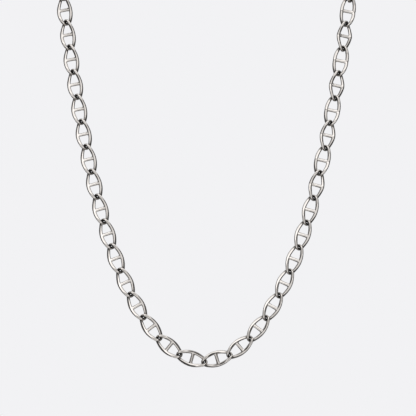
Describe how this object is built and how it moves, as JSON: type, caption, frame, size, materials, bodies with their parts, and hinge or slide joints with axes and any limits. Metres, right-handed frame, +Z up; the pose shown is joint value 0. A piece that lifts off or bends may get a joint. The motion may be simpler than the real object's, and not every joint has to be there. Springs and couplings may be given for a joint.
{
  "type": "mariner link necklace chain",
  "caption": "Polished silver mariner link necklace chain, a closed loop shaped as it hangs round a neck, with a plain barrel clasp at the nape.",
  "frame": {"origin": "middle of the neck opening, at the height of the nape", "axes": "+Z up, -Y towards the chest's front, +X to the right in the front view"},
  "size_m": [0.1152, 0.1145, 0.1569],
  "materials": {
    "silver": "polished sterling silver"
  },
  "bodies": {
    "root": {"chain_left": "silver", "chain_right": "silver", "clasp": "silver"}
  },
  "joints": []
}
